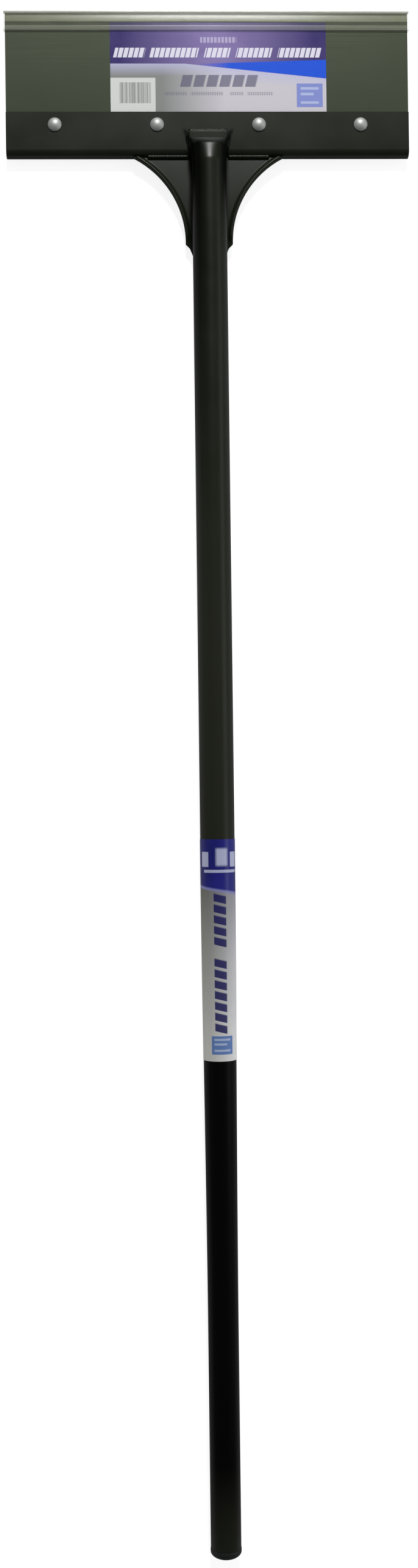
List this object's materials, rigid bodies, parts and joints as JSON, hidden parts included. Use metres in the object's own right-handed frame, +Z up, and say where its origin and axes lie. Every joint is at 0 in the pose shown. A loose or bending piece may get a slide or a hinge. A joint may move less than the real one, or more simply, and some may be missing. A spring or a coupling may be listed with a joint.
{
  "type": "floor scraper",
  "caption": "Long-handled floor scraper: a wide steel blade bolted to a pressed head, braced to a tubular handle with a domed end cap, its cutting edge under a clear channel guard.",
  "frame": {"origin": "centre of the whole tool's box, on the floor it lies on", "axes": "+Y from the grip end to the cutting edge, +X across the blade, +Z up out of the face with the bolt heads"},
  "size_m": [0.3584, 1.362, 0.0404],
  "materials": {
    "black_coat": "satin black powder coat",
    "weld_coat": "black powder coat over rippled weld",
    "blade_steel": "grey-green oiled spring steel with a ground bevel",
    "bolt_steel": "bright plated, smooth dome",
    "zinc_plate": "bright zinc plate",
    "cap_plastic": "moulded black plastic",
    "guard_plastic": "clear PVC, faintly yellowed",
    "blade_print": "printed film sticker",
    "handle_print": "printed film wrap, silver with a blue band"
  },
  "bodies": {
    "scraper": {"head_plate": "black_coat", "blade": "blade_steel", "brace_plate": "black_coat", "handle_tube": "black_coat", "end_cap": "cap_plastic", "blade_label": "blade_print", "handle_label": "handle_print", "dome_bolt_1": "bolt_steel", "dome_bolt_2": "bolt_steel", "dome_bolt_3": "bolt_steel", "dome_bolt_4": "bolt_steel", "flat_washer_1": "zinc_plate", "flat_washer_2": "zinc_plate", "flat_washer_3": "zinc_plate", "flat_washer_4": "zinc_plate", "spring_washer_1": "zinc_plate", "spring_washer_2": "zinc_plate", "spring_washer_3": "zinc_plate", "spring_washer_4": "zinc_plate", "hex_nut_1": "zinc_plate", "hex_nut_2": "zinc_plate", "hex_nut_3": "zinc_plate", "hex_nut_4": "zinc_plate", "tip_weld_top": "weld_coat", "tip_weld_left": "weld_coat", "tip_weld_right": "weld_coat", "lip_weld_left": "weld_coat", "lip_weld_right": "weld_coat", "seam_weld_left": "weld_coat", "seam_weld_right": "weld_coat"},
    "guard": {"edge_guard": "guard_plastic"}
  },
  "joints": [
    {"name": "guard_pull", "type": "slide", "parent": "scraper", "child": "guard", "axis": [0, 1, 0.0095], "range_m": [0, 0.04]}
  ]
}
